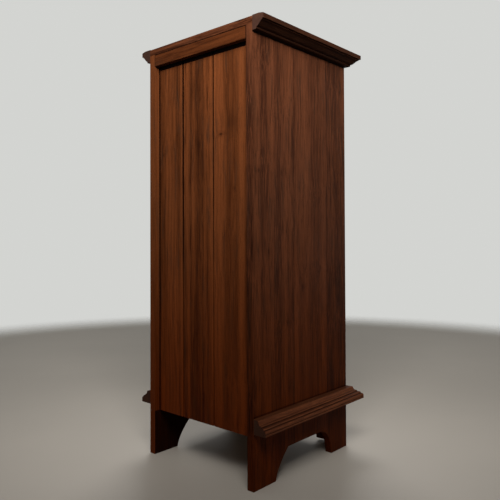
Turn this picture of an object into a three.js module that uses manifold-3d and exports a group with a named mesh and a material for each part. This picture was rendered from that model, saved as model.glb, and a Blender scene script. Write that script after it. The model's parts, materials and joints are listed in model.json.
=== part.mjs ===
import * as THREE from "three";
import { mergeVertices } from "three/addons/utils/BufferGeometryUtils.js";
import Module from "manifold-3d";

// A semainier: a tall narrow chest of seven equal drawers in a solid wood case.
// Millimetres. X runs across the chest, the drawers pull towards -Y, Z is up,
// and the origin is on the floor under the middle of the whole footprint.

// Case
const caseWidth = 419;
const caseDepth = 447.5;
const caseHeight = 1240;
const sideThickness = 21.8;
const topThickness = 18.5;

// Fits
const glueLine = 0.3;
const runningGap = 0.3;
const drawerGap = 1.2;
const cutOverrun = 4;

// Feet cut from the lower edge of the side panels and of the front apron
const rearFootWidth = 91.5;
const frontFootWidth = 84.5;
const apronFootWidth = 99;
const archHeight = 79.2;
const archSweep = 56;
const apronLift = 9;
const rearBendShares = [0.14, 0.46];
const frontBendShares = [0.11, 0.91];

// Crown moulding: a bead, an ogee and a fascia, from its soffit up
const crownReach = 38.6;
const crownHeight = 39.5;
const crownProud = 1.5;
const crownBeadReach = 14.4;
const crownBeadSize = 4.8;
const crownBeadStep = 1.6;
const crownOgeeHead = 33.4;
const crownOgeeTop = 20.8;
const crownOgeeShares = [0.34, 0.08, 0.62, 0.86];
const crownFasciaFoot = 23.6;
const crownRounding = 1.5;
const crownTopReach = 24;
const crownTopFall = 2.6;

// Base moulding: a lip, then beads stepped back one above the other, each written as
// its outer reach, foot, inner reach and top in shares of the moulding's reach and height
const baseBottom = 148.8;
const baseHeight = 39.5;
const baseReach = 40.4;
const baseLip = 6.4;
const baseLipRounding = 2.4;
const baseLipGroove = 0.9;
const baseBeadShares = [
  [1, 0.2, 0.876, 0.4],
  [0.842, 0.435, 0.658, 0.55],
  [0.624, 0.585, 0.48, 0.68],
  [0.406, 0.835, 0.307, 0.955],
];

// Back: a rail under the top board and three upright planks set in behind it
const plankRecess = 17.8;
const plankThickness = 9;
const plankFoot = 131.2;
const plankGroove = 7;
const plankTongue = 3;
const plankOverlap = 6;
const plankSlack = 1;
const plankGaps = [3.8, 6.4];
const plankWidthShares = [0.373, 0.336, 0.291];
const backRailHeight = 35.4;

// Frames that carry the drawers
const drawerCount = 7;
const frameThickness = 16;
const frameFrontDepth = 58;
const frameRearDepth = 36;
const runnerWidth = 36;
const housingDepth = 6;
const housingStop = 14;
const openingLip = 1.5;
const stopWidth = 34;
const stopDepth = 10;
const stopHeight = 4;
const stopSpreadShare = 0.24;

// Drawers
const frontThickness = 20;
const boxThickness = 10;
const boxHeadroom = 11;
const boxRearGap = 14;
const backDrop = 6;
const bottomThickness = 5;
const bottomLift = 10;
const bottomGroove = 5;
const beadWidth = 3.2;
const beadHeight = 1.6;
const beadRounding = 1.1;

// Lapped dovetails between each drawer front and its box
const tailCount = 3;
const dovetailLap = 7;
const tailFlare = 2.4;
const tailShare = 0.58;

// Turned knobs
const knobReach = 27;
const knobRadius = 15;
const knobSpreadShare = 0.28;
const spigotRadius = 5;
const roseRadius = 10.5;
const roseHeight = 3.2;
const neckRadius = 6.4;
const neckLength = 6.5;
const knobCrownDrop = 4.6;

// Glue blocks in the front corners of the base
const blockSize = 34;
const blockLift = 16;

// Facets
const curveSegments = 12;
const turnSegments = 16;
const turnCurveSegments = 3;

// Places that follow from the sizes
const reach = Math.max(baseReach, crownReach, knobReach);
const rearY = (caseDepth + reach) / 2;
const frontY = rearY - caseDepth;
const sideX = caseWidth / 2;
const innerX = sideX - sideThickness;
const innerWidth = innerX * 2;
const sideTop = caseHeight - topThickness - glueLine;
const crownBottom = caseHeight + crownProud - crownHeight;
const plankRearY = rearY - plankRecess;
const plankFrontY = plankRearY - plankThickness;
const frameRearY = plankFrontY - glueLine;
const openingsTop = crownBottom - openingLip;
const openingsBottom = baseBottom + baseHeight + openingLip;
const framesBetween = (drawerCount - 1) * frameThickness;
const openingHeight = (openingsTop - openingsBottom - framesBetween) / drawerCount;
const drawerPitch = openingHeight + frameThickness;

const wasm = await Module();
wasm.setup();

const wood = {
  side: { color: 0x5e2a15, roughness: 0.45, metalness: 0 },
  back: { color: 0x8a4a20, roughness: 0.55, metalness: 0 },
  moulding: { color: 0x53281a, roughness: 0.4, metalness: 0 },
  drawer: { color: 0x63301a, roughness: 0.4, metalness: 0 },
  inside: { color: 0xa77a4c, roughness: 0.7, metalness: 0 },
};

const semainier = new THREE.Group();

function addPiece(parent, name, finish, geometry) {
  const piece = new THREE.Mesh(geometry, new THREE.MeshStandardMaterial(finish));
  piece.name = name;
  parent.add(piece);
  return piece;
}

// Closed geometry to a solid that can be cut and joined, and back
function solidOf(geometry) {
  const bare = geometry.clone();
  bare.deleteAttribute("normal");
  bare.deleteAttribute("uv");
  const merged = mergeVertices(bare);
  return new wasm.Manifold(
    new wasm.Mesh({
      numProp: 3,
      vertProperties: merged.attributes.position.array,
      triVerts: new Uint32Array(merged.index.array),
    }),
  );
}

function geometryOf(solid) {
  const mesh = solid.getMesh();
  const geometry = new THREE.BufferGeometry();
  geometry.setAttribute("position", new THREE.BufferAttribute(mesh.vertProperties, mesh.numProp));
  geometry.setIndex(new THREE.BufferAttribute(mesh.triVerts, 1));
  const faceted = geometry.toNonIndexed();
  faceted.computeVertexNormals();
  return faceted;
}

function cut(solid, ...cutters) {
  return cutters.reduce((left, cutter) => left.subtract(cutter), solid);
}

function join(solid, ...others) {
  return others.reduce((whole, other) => whole.add(other), solid);
}

// A box between two corners
function block(low, high) {
  const size = high.map((value, axis) => value - low[axis]);
  const geometry = new THREE.BoxGeometry(...size);
  geometry.translate(...low.map((value, axis) => value + size[axis] / 2));
  return solidOf(geometry);
}

// Outlines drawn in the plane of a board and given its thickness
function extrude(outline, depth, bevel = {}) {
  return new THREE.ExtrudeGeometry(outline, {
    depth,
    curveSegments,
    bevelEnabled: false,
    ...bevel,
  });
}

// Outline in Y and Z, thickness towards +X from x
function uprightBoard(outline, x, thickness) {
  const basis = new THREE.Matrix4().makeBasis(
    new THREE.Vector3(0, 1, 0),
    new THREE.Vector3(0, 0, 1),
    new THREE.Vector3(1, 0, 0),
  );
  return extrude(outline, thickness).applyMatrix4(basis).translate(x, 0, 0);
}

// Outline in X and Z, thickness towards -Y from y
function facingBoard(outline, y, thickness, bevel) {
  return extrude(outline, thickness, bevel).rotateX(Math.PI / 2).translate(0, y, 0);
}

// Outline in X and Y, thickness towards +Z from z
function lyingBoard(outline, z, thickness) {
  return extrude(outline, thickness).translate(0, 0, z);
}

function rectangle(left, low, right, high, Path = THREE.Shape) {
  return new Path([
    new THREE.Vector2(left, low),
    new THREE.Vector2(right, low),
    new THREE.Vector2(right, high),
    new THREE.Vector2(left, high),
  ]);
}

// Feet: the arch between two of them springs from the floor and bends into a level edge
function springArch(outline, edge, direction, foot, shares, level) {
  const inner = edge + direction * archSweep;
  const bend = edge + direction * archSweep * shares[0];
  const bendHeight = foot + (level - foot) * shares[1];
  if (direction > 0) {
    outline.lineTo(edge, foot);
    outline.quadraticCurveTo(bend, bendHeight, inner, level);
  } else {
    outline.lineTo(inner, level);
    outline.quadraticCurveTo(bend, bendHeight, edge, foot);
  }
}

function sidePanel() {
  const outline = new THREE.Shape();
  outline.moveTo(frontY, 0);
  springArch(outline, frontY + frontFootWidth, 1, 0, frontBendShares, archHeight);
  springArch(outline, rearY - rearFootWidth, -1, 0, rearBendShares, archHeight);
  outline.lineTo(rearY, 0);
  outline.lineTo(rearY, sideTop);
  outline.lineTo(frontY, sideTop);
  outline.closePath();
  const panel = solidOf(uprightBoard(outline, -sideX, sideThickness));
  const housings = frameLevels().map(({ low, high }) =>
    block(
      [-innerX - housingDepth, frontY + housingStop, low - glueLine],
      [-innerX + cutOverrun, frameRearY + glueLine, high + glueLine],
    ),
  );
  const plankSlot = block(
    [-innerX - plankGroove, plankFrontY - glueLine, plankFoot],
    [-innerX + cutOverrun, plankRearY + glueLine, sideTop + cutOverrun],
  );
  return geometryOf(cut(panel, ...housings, plankSlot));
}

// Heights of every frame, from the one under the top board down
function frameLevels() {
  const levels = [{ low: openingsTop, high: sideTop }];
  for (let index = 1; index < drawerCount; index += 1) {
    const low = openingsTop - index * drawerPitch;
    levels.push({ low, high: low + frameThickness });
  }
  levels.push({ low: openingsBottom - frameThickness, high: openingsBottom });
  return levels;
}

// A frame: front rail, two runners and rear rail, tongued into the side panels
function carryingFrame({ low, high }, hasStops) {
  const shownX = innerX - glueLine;
  const tongueX = innerX + housingDepth - glueLine;
  const tongueY = frontY + housingStop + glueLine;
  const outline = new THREE.Shape([
    new THREE.Vector2(-shownX, frontY),
    new THREE.Vector2(shownX, frontY),
    new THREE.Vector2(shownX, tongueY),
    new THREE.Vector2(tongueX, tongueY),
    new THREE.Vector2(tongueX, frameRearY),
    new THREE.Vector2(-tongueX, frameRearY),
    new THREE.Vector2(-tongueX, tongueY),
    new THREE.Vector2(-shownX, tongueY),
  ]);
  const openX = innerX - runnerWidth;
  const openRearY = frameRearY - frameRearDepth;
  outline.holes.push(
    rectangle(-openX, frontY + frameFrontDepth, openX, openRearY, THREE.Path),
  );
  const frame = solidOf(lyingBoard(outline, low, high - low));
  if (!hasStops) {
    return geometryOf(frame);
  }
  const stopFrontY = frontY + frontThickness + runningGap;
  const stops = [-1, 1].map((side) => {
    const centre = side * innerWidth * stopSpreadShare;
    return block(
      [centre - stopWidth / 2, stopFrontY, high - stopHeight],
      [centre + stopWidth / 2, stopFrontY + stopDepth, high + stopHeight],
    );
  });
  return geometryOf(join(frame, ...stops));
}

function frontApron() {
  const edge = innerX - glueLine;
  const foot = sideX - apronFootWidth;
  const outline = new THREE.Shape();
  outline.moveTo(-edge, apronLift);
  springArch(outline, -foot, 1, apronLift, frontBendShares, archHeight);
  springArch(outline, foot, -1, apronLift, frontBendShares, archHeight);
  outline.lineTo(edge, apronLift);
  outline.lineTo(edge, openingsBottom - frameThickness - glueLine);
  outline.lineTo(-edge, openingsBottom - frameThickness - glueLine);
  outline.closePath();
  return facingBoard(outline, frontY + sideThickness, sideThickness);
}

function glueBlock() {
  const x = -innerX + glueLine;
  const y = frontY + sideThickness + glueLine;
  const outline = new THREE.Shape([
    new THREE.Vector2(x, y),
    new THREE.Vector2(x + blockSize, y),
    new THREE.Vector2(x, y + blockSize),
  ]);
  const high = openingsBottom - frameThickness - glueLine;
  return lyingBoard(outline, blockLift, high - blockLift);
}

// Crown profile: reach from the case across, height from its soffit up
function crownProfile() {
  const ogeeFoot = crownBeadReach + crownBeadStep;
  const ogeeStart = crownBeadSize + crownBeadStep;
  const run = crownOgeeHead - ogeeFoot;
  const rise = crownOgeeTop - ogeeStart;
  const edgeTop = crownHeight - crownTopFall;
  const profile = new THREE.Shape();
  profile.moveTo(glueLine, 0);
  profile.lineTo(crownBeadReach - crownBeadSize, 0);
  profile.quadraticCurveTo(crownBeadReach, 0, crownBeadReach, crownBeadSize);
  profile.lineTo(crownBeadReach, ogeeStart);
  profile.lineTo(ogeeFoot, ogeeStart);
  profile.bezierCurveTo(
    ogeeFoot + run * crownOgeeShares[0],
    ogeeStart + rise * crownOgeeShares[1],
    ogeeFoot + run * crownOgeeShares[2],
    ogeeStart + rise * crownOgeeShares[3],
    crownOgeeHead,
    crownOgeeTop,
  );
  profile.lineTo(crownOgeeHead, crownFasciaFoot);
  profile.lineTo(crownReach - crownRounding, crownFasciaFoot);
  profile.quadraticCurveTo(
    crownReach,
    crownFasciaFoot,
    crownReach,
    crownFasciaFoot + crownRounding,
  );
  profile.lineTo(crownReach, edgeTop - crownRounding);
  profile.quadraticCurveTo(crownReach, edgeTop, crownReach - crownRounding, edgeTop);
  profile.lineTo(crownTopReach, crownHeight);
  profile.lineTo(glueLine, crownHeight);
  profile.closePath();
  return profile;
}

// Base profile: reach from the case across, height from its lower edge up
function baseProfile() {
  const profile = new THREE.Shape();
  profile.moveTo(glueLine, 0);
  profile.lineTo(baseReach - baseLipRounding, 0);
  profile.quadraticCurveTo(baseReach, 0, baseReach, baseLipRounding);
  profile.lineTo(baseReach, baseLip - baseLipGroove);
  profile.lineTo(baseReach - baseLipGroove, baseLip);
  for (const [outer, foot, inner, top] of baseBeadShares) {
    profile.lineTo(baseReach * outer, baseHeight * foot);
    profile.quadraticCurveTo(
      baseReach * outer,
      baseHeight * top,
      baseReach * inner,
      baseHeight * top,
    );
  }
  profile.lineTo(glueLine, baseHeight);
  profile.closePath();
  return profile;
}

// A length of moulding whose mitred ends run on by their own reach
function mouldingLength(profile, length, mitres) {
  const strip = extrude(profile, length);
  const places = strip.attributes.position;
  for (let index = 0; index < places.count; index += 1) {
    const along = places.getZ(index);
    const run = places.getX(index) - glueLine / 2;
    const end = along > length / 2 ? 1 : 0;
    if (mitres[end]) {
      places.setZ(index, end ? along + run : along - run);
    }
  }
  return strip;
}

// Reach towards -X, running from the rear of the case to its front corner
function sideMoulding(profile, z) {
  const basis = new THREE.Matrix4().makeBasis(
    new THREE.Vector3(-1, 0, 0),
    new THREE.Vector3(0, 0, 1),
    new THREE.Vector3(0, 1, 0),
  );
  return mouldingLength(profile, caseDepth, [true, false])
    .applyMatrix4(basis)
    .translate(-sideX, frontY, z);
}

// Reach towards -Y, running across the front between two mitres
function frontMoulding(profile, z) {
  const basis = new THREE.Matrix4().makeBasis(
    new THREE.Vector3(0, -1, 0),
    new THREE.Vector3(0, 0, 1),
    new THREE.Vector3(-1, 0, 0),
  );
  return mouldingLength(profile, caseWidth, [true, true])
    .applyMatrix4(basis)
    .translate(sideX, frontY, z);
}

// Back planks stand in side grooves, and each one's thin tongue reaches behind the next
function backPlank(index) {
  const joints = plankWidthShares.reduce(
    (edges, share) => [...edges, edges.at(-1) + share * innerWidth],
    [-innerX],
  );
  const isFirst = index === 0;
  const isLast = index === plankWidthShares.length - 1;
  const seat = plankGroove - glueLine;
  const stepY = plankFrontY + plankTongue;
  const left = isFirst ? joints[0] - seat : joints[index] + plankGaps[index - 1] / 2;
  const right = isLast ? joints.at(-1) + seat : joints[index + 1] - plankGaps[index] / 2;
  const innerLeft = isFirst ? left : left + plankOverlap + plankSlack;
  const innerRight = isLast ? right : right + plankGaps[index] + plankOverlap;
  const outline = new THREE.Shape([
    new THREE.Vector2(innerLeft, plankFrontY),
    new THREE.Vector2(innerRight, plankFrontY),
    new THREE.Vector2(innerRight, stepY - glueLine),
    new THREE.Vector2(right, stepY - glueLine),
    new THREE.Vector2(right, plankRearY),
    new THREE.Vector2(left, plankRearY),
    new THREE.Vector2(left, stepY),
    new THREE.Vector2(innerLeft, stepY),
  ]);
  return lyingBoard(tidyOutline(outline), plankFoot, sideTop - plankFoot);
}

// Drops outline points that repeat or lie on a straight run
function tidyOutline(outline) {
  const points = outline.getPoints();
  const kept = points.filter((point, index) => {
    const before = points.at(index - 1);
    const after = points[(index + 1) % points.length];
    const toBefore = before.clone().sub(point);
    const toAfter = after.clone().sub(point);
    return Math.abs(toBefore.cross(toAfter)) > Number.EPSILON;
  });
  return new THREE.Shape(kept);
}

// Tails stand on the box's sides, and sockets of the same shape are cut in the front
function tailOutline(index, height, clearance) {
  const pitch = height / tailCount;
  const half = (pitch * tailShare) / 2 + clearance;
  const centre = runningGap + pitch * index + pitch / 2;
  const root = frontThickness;
  const tip = dovetailLap - clearance;
  return new THREE.Shape([
    new THREE.Vector2(root + cutOverrun, centre - half + tailFlare),
    new THREE.Vector2(root + cutOverrun, centre + half - tailFlare),
    new THREE.Vector2(root, centre + half - tailFlare),
    new THREE.Vector2(tip, centre + half),
    new THREE.Vector2(tip, centre - half),
    new THREE.Vector2(root, centre - half + tailFlare),
  ]);
}

// Drawer sizes, measured in the drawer's own frame: the front's face at y = 0,
// the runners at z = 0
const frontX = innerX - drawerGap;
const frontLow = drawerGap;
const frontHigh = openingHeight - drawerGap;
const boxHeight = openingHeight - boxHeadroom;
const boxRear = frameRearY - boxRearGap - frontY;
const boxInnerX = frontX - boxThickness;
const bottomLow = runningGap + bottomLift;
const bottomHigh = bottomLow + bottomThickness;
const tailIndexes = Array.from({ length: tailCount }, (unused, index) => index);

function drawerFront() {
  const slab = solidOf(
    facingBoard(rectangle(-frontX, frontLow, frontX, frontHigh), frontThickness, frontThickness),
  );
  const bead = rectangle(
    -frontX + beadRounding,
    frontLow + beadRounding,
    frontX - beadRounding,
    frontHigh - beadRounding,
  );
  const field = beadWidth - beadRounding;
  bead.holes.push(
    rectangle(
      -frontX + field,
      frontLow + field,
      frontX - field,
      frontHigh - field,
      THREE.Path,
    ),
  );
  const ring = facingBoard(bead, beadHeight, beadHeight, {
    bevelEnabled: true,
    bevelSegments: 2,
    bevelSize: beadRounding,
    bevelThickness: beadRounding,
  });
  ring.translate(0, beadRounding - beadHeight, 0);
  const sockets = tailIndexes.flatMap((index) => {
    const outline = tailOutline(index, boxHeight, glueLine);
    const depth = boxThickness + glueLine + cutOverrun;
    return [
      solidOf(uprightBoard(outline, -frontX - cutOverrun, depth)),
      solidOf(uprightBoard(outline, frontX + cutOverrun - depth, depth)),
    ];
  });
  const groove = block(
    [-boxInnerX, frontThickness - bottomGroove, bottomLow - glueLine],
    [boxInnerX, frontThickness + cutOverrun, bottomHigh + glueLine],
  );
  const holes = [-1, 1].map((side) => {
    const drill = new THREE.CylinderGeometry(
      spigotRadius + glueLine,
      spigotRadius + glueLine,
      frontThickness + cutOverrun * 2,
      turnSegments,
    );
    drill.translate(knobX(side), frontThickness / 2, openingHeight / 2);
    return solidOf(drill);
  });
  const moulded = join(slab, solidOf(ring));
  return geometryOf(cut(moulded, ...sockets, groove, ...holes));
}

function knobX(side) {
  return side * frontX * 2 * knobSpreadShare;
}

function drawerBox() {
  const sideOutline = rectangle(
    frontThickness + glueLine,
    runningGap,
    boxRear,
    runningGap + boxHeight,
  );
  const walls = [-frontX, boxInnerX].flatMap((x) => [
    solidOf(uprightBoard(sideOutline, x, boxThickness)),
    ...tailIndexes.map((index) =>
      solidOf(uprightBoard(tailOutline(index, boxHeight, 0), x, boxThickness)),
    ),
  ]);
  const back = block(
    [-frontX, boxRear - boxThickness, bottomHigh + glueLine],
    [frontX, boxRear, runningGap + boxHeight - backDrop],
  );
  const grooveX = boxInnerX + bottomGroove;
  const groove = block(
    [-grooveX, frontThickness, bottomLow - glueLine],
    [grooveX, boxRear + cutOverrun, bottomHigh + glueLine],
  );
  return geometryOf(cut(join(back, ...walls), groove));
}

function drawerBottom() {
  const edgeX = boxInnerX + bottomGroove - glueLine;
  const outline = rectangle(
    -edgeX,
    frontThickness + glueLine,
    edgeX,
    boxRear,
  );
  const tongueX = boxInnerX - glueLine;
  const panel = solidOf(lyingBoard(outline, bottomLow, bottomThickness));
  const tongue = block(
    [-tongueX, frontThickness - bottomGroove + glueLine, bottomLow],
    [tongueX, frontThickness + cutOverrun, bottomHigh],
  );
  return geometryOf(join(panel, tongue));
}

// A knob turned about its own axis, spigot behind and crown in front
function turnedKnob() {
  const crownStart = roseHeight + neckLength;
  const profile = new THREE.Path();
  profile.moveTo(0, -frontThickness);
  profile.lineTo(spigotRadius, -frontThickness);
  profile.lineTo(spigotRadius, glueLine);
  profile.lineTo(roseRadius, glueLine);
  profile.lineTo(roseRadius, roseHeight / 2);
  profile.lineTo(neckRadius, roseHeight);
  profile.quadraticCurveTo(neckRadius, crownStart, knobRadius, crownStart + knobCrownDrop);
  profile.quadraticCurveTo(
    knobRadius,
    knobReach - knobCrownDrop / 2,
    knobRadius / 2,
    knobReach - knobCrownDrop / 2 + glueLine,
  );
  profile.lineTo(0, knobReach);
  const knob = new THREE.LatheGeometry(profile.getPoints(turnCurveSegments), turnSegments);
  return knob.rotateX(Math.PI);
}

// Case
const crown = crownProfile();
const base = baseProfile();
const pairedPieces = [
  ["side_panel", wood.side, sidePanel()],
  ["crown_moulding", wood.moulding, sideMoulding(crown, crownBottom)],
  ["base_moulding", wood.moulding, sideMoulding(base, baseBottom)],
  ["glue_block", wood.inside, glueBlock()],
];
for (const [name, finish, geometry] of pairedPieces) {
  addPiece(semainier, `${name}_left`, finish, geometry);
  addPiece(semainier, `${name}_right`, finish, geometry).scale.x = -1;
}
addPiece(
  semainier,
  "top_board",
  wood.side,
  lyingBoard(rectangle(-sideX, frontY, sideX, rearY), caseHeight - topThickness, topThickness),
);
addPiece(semainier, "crown_moulding_front", wood.moulding, frontMoulding(crown, crownBottom));
addPiece(semainier, "base_moulding_front", wood.moulding, frontMoulding(base, baseBottom));
addPiece(semainier, "front_apron", wood.side, frontApron());
addPiece(
  semainier,
  "back_top_rail",
  wood.back,
  facingBoard(
    rectangle(-innerX + glueLine, sideTop - backRailHeight, innerX - glueLine, sideTop),
    rearY,
    plankRecess - glueLine,
  ),
);
plankWidthShares.forEach((share, index) => {
  addPiece(semainier, `back_plank_${index + 1}`, wood.back, backPlank(index));
});

// Frames
frameLevels().forEach((level, index) => {
  const isTop = index === 0;
  const isBottom = index === drawerCount;
  const name = isTop ? "top_frame" : isBottom ? "bottom_frame" : `drawer_frame_${index}`;
  addPiece(semainier, name, wood.inside, carryingFrame(level, !isTop));
});

// Drawers, counted from the top
const frontGeometry = drawerFront();
const boxGeometry = drawerBox();
const bottomGeometry = drawerBottom();
const knobGeometry = turnedKnob();
for (let index = 1; index <= drawerCount; index += 1) {
  const drawer = new THREE.Group();
  drawer.position.set(0, frontY, openingsTop - index * drawerPitch + frameThickness);
  addPiece(drawer, `drawer_${index}_front`, wood.drawer, frontGeometry);
  addPiece(drawer, `drawer_${index}_box`, wood.inside, boxGeometry);
  addPiece(drawer, `drawer_${index}_bottom`, wood.inside, bottomGeometry);
  for (const [side, word] of [[-1, "left"], [1, "right"]]) {
    const knob = addPiece(drawer, `drawer_${index}_knob_${word}`, wood.moulding, knobGeometry);
    knob.position.set(knobX(side), 0, openingHeight / 2);
  }
  semainier.add(drawer);
}

export default semainier;
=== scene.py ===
"""A semainier in its finish: a tall narrow chest of seven drawers in stained and waxed wood."""

import json
import math
from random import Random

import bmesh
import bpy
from bpy.props import FloatProperty, FloatVectorProperty, IntProperty, PointerProperty
from mathutils import Matrix, Vector

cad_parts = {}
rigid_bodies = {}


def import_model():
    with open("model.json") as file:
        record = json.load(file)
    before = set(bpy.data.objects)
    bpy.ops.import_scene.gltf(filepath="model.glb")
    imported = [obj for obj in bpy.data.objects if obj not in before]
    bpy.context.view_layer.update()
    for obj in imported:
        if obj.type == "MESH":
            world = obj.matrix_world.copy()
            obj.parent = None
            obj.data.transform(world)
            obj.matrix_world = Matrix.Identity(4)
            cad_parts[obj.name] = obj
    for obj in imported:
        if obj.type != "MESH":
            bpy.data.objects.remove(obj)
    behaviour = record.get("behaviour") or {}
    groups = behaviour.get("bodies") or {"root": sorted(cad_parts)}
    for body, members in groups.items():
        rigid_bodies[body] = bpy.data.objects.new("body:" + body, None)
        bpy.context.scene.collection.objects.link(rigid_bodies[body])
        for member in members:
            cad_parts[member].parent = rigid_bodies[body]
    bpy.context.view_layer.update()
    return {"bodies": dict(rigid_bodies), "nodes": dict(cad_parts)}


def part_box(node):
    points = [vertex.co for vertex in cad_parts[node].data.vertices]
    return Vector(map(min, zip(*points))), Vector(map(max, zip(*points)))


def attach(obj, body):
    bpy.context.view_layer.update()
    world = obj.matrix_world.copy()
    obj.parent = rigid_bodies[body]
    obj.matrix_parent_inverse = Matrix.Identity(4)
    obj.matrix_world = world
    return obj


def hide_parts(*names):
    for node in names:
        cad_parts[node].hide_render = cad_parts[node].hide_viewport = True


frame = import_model()

bl_info = {
    "name": "Semainier",
    "version": (1, 0, 0),
    "blender": (4, 5, 0),
    "location": "View3D > Sidebar > Semainier",
    "description": "Dresses a tall chest of seven drawers in stained and waxed wood",
    "category": "Object",
}

AXES = {"X": 0, "Y": 1, "Z": 2}
SIDES = {"left": -1, "right": 1}
CASE = "case"
DRAWERS = sorted(name for name in frame["bodies"] if name != CASE)

# Places that the frame gives
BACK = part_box("side_panel_left")[1].y
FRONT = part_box("side_panel_left")[0].y
OUTER_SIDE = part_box("side_panel_right")[1].x
INNER_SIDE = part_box("side_panel_right")[0].x

# Limits of the mesh work
MERGE = 1e-6
FLAT_ANGLE = math.radians(0.6)
ARRIS_ANGLE = math.radians(58)
SMOOTH_ANGLE = math.radians(36)
FULL_RELIEF = math.radians(60)

# A face looks one way where its normal has at least this share in that direction
FACING = 0.7

# A face narrower than this is a strip of an arris or a moulding, which shows wear and dirt
NARROW = 0.0042

# How far apart along the grain two boards may start in the same noise
LONGEST_RUN = 40


def linear(red, green, blue):
    """A colour written as it looks on a screen, as the light that Blender works in."""
    return tuple((part / 255) ** 2.2 for part in (red, green, blue))


# Settings


def wood_colour(name, description, colour):
    default = linear(*colour)
    return FloatVectorProperty(
        name=name, description=description, subtype="COLOR", default=default, min=0, max=1
    )


def length(name, description, default):
    return FloatProperty(
        name=name, description=description, default=default, min=0, unit="LENGTH", precision=5
    )


def angle(name, description, degrees):
    return FloatProperty(
        name=name, description=description, subtype="ANGLE", default=math.radians(degrees)
    )


def strength(name, description, default):
    return FloatProperty(name=name, description=description, default=default, min=0)


class SemainierSizes(bpy.types.PropertyGroup):
    """Small sizes that the finish adds to the joiner's work"""

    case_arris: length("Case arris", "Width of the rubbed edges of the case", 0.0011)
    plank_arris: length("Plank arris", "Width of the planed edges of the back", 0.0008)
    inner_arris: length("Inner arris", "Width of the eased edges inside the case", 0.0005)
    joint_width: length("Joint width", "Width of the open glue joints", 0.0007)
    joint_depth: length("Joint depth", "Depth of the open glue joints", 0.0005)
    # Painted shadow: the planks are painted black this far below the back's rail
    rail_shade: length("Rail shade", "Height of the dirt below the rail of the back", 0.012)
    # Painted shade: the planks are painted dark this near the side panels
    corner_shade: length("Corner shade", "Width of the dirt beside the side panels", 0.006)
    rail_seam: length("Rail seam", "Width of the dirt at the top and ends of the rail", 0.0024)
    # Painted shadow: the side panels are painted black this far below the crown
    crown_shade: length("Crown shade", "Height of the dirt below the crown", 0.005)
    # Painted shade: the side panels are painted darker this far above the base moulding
    base_shade: length("Base shade", "Height of the dirt above the base moulding", 0.005)
    rail_depth: length("Rail depth", "Front to back size of the drawer rails", 0.058)
    rear_rail_depth: length("Rear rail depth", "Front to back size of the rear rails", 0.036)
    runner_width: length("Runner width", "Width of the runners of the drawers", 0.036)
    drawer_wall: length("Drawer wall", "Thickness of the drawer sides", 0.010)
    knob_facets: IntProperty(
        name="Knob facets", description="Facets round a knob", default=48, min=16, max=96
    )


SHADES = ("light", "middle", "dark")
WOOD_COLOURS = {
    "case": ("Case", (100, 59, 39), (69, 40, 27), (38, 21, 14)),
    "back": ("Back", (107, 60, 34), (73, 41, 23), (46, 23, 11)),
    "moulding": ("Mouldings", (132, 82, 56), (76, 42, 28), (36, 18, 12)),
    "inner": ("Inside", (196, 152, 102), (172, 126, 80), (124, 84, 50)),
}


class SemainierColours(bpy.types.PropertyGroup):
    """Colours of the woods, light, middle and dark"""

    __annotations__ = {
        f"{kind}_{shade}": wood_colour(f"{label}, {shade}", f"The {shade} colour", colour)
        for kind, (label, *colours) in WOOD_COLOURS.items()
        for shade, colour in zip(SHADES, colours)
    }


class SemainierStage(bpy.types.PropertyGroup):
    """The floor, the backdrop, the lamps and the camera"""

    floor_colour: wood_colour("Floor", "Colour of the plain floor", (180, 171, 159))
    backdrop_colour: wood_colour("Backdrop", "Colour round the stage", (210, 211, 208))
    floor_radius: length("Floor radius", "Radius of the round floor", 3.2)
    floor_fade: length("Floor fade", "Width over which the floor fades out", 0.7)
    camera_place: FloatVectorProperty(
        name="Camera place",
        description="Where the camera stands",
        subtype="TRANSLATION",
        unit="LENGTH",
        default=(-1.1866, 1.3724, 0.6606),
    )
    camera_heading: angle(
        "Camera heading", "Direction of view, clockwise from the back of the chest", 138.0466
    )
    camera_rise: angle("Camera rise", "How far the camera looks up", 0.8972)
    camera_roll: angle("Camera roll", "Turn of the camera about its line of view", -0.1846)
    focal_length: FloatProperty(
        name="Focal length",
        description="Focal length on a full frame",
        unit="CAMERA",
        default=41.32,
    )
    shift: FloatVectorProperty(
        name="Shift", description="Shift of the lens", size=2, default=(0.0156, -0.0442)
    )
    world_level: strength("Surround level", "Light from all round", 0.05)
    key_power: strength("Key power", "Power of the lamp behind the chest", 28)
    lamp_spread: angle(
        "Lamp spread", "How wide the lamps behind and in front of the chest shine", 105
    )
    top_power: strength("Top power", "Power of the lamp overhead", 19)
    fill_power: strength("Fill power", "Power of the lamp in front", 18)


# Boards and their grain


class Board:
    """One board: the way its grain runs, and where the heart of the tree lay from its middle."""

    def __init__(self, label, along, across, middle, heart=(0.0, 0.12), tone=None):
        draw = Random(label)
        self.order = [AXES[along], AXES[across]]
        self.order.append(sum(AXES.values()) - sum(self.order))
        self.middle = middle
        self.heart = heart
        self.run = draw.uniform(0, LONGEST_RUN)
        self.tone = draw.uniform(-1, 1) if tone is None else tone

    def grain(self, point):
        """The point as metres along the grain, across it and out from the heart of the tree."""
        along, across, depth = (point[axis] - self.middle[axis] for axis in self.order)
        return Vector((along + self.run, across + self.heart[0], depth + self.heart[1]))


def middle_of(node):
    low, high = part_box(node)
    return (low + high) / 2


def boards_of(node, ways):
    """The boards of a node by name, given the ways that lie along and across each."""
    middle = middle_of(node)
    return {
        name: Board(f"{node} {name}", along, across, middle)
        for name, (along, across) in ways.items()
    }


def glued_up(node, label, along, joints, hearts, tones):
    """The boards of a glued-up panel from the front, whose joints lie at these depths."""
    edges = [FRONT, *joints, BACK]
    boards = []
    for index, (heart, tone) in enumerate(zip(hearts, tones)):
        middle = middle_of(node)
        middle.y = (edges[index] + edges[index + 1]) / 2
        boards.append(Board(f"{label} {index}", along, "Y", middle, heart, tone))
    return boards


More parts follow.
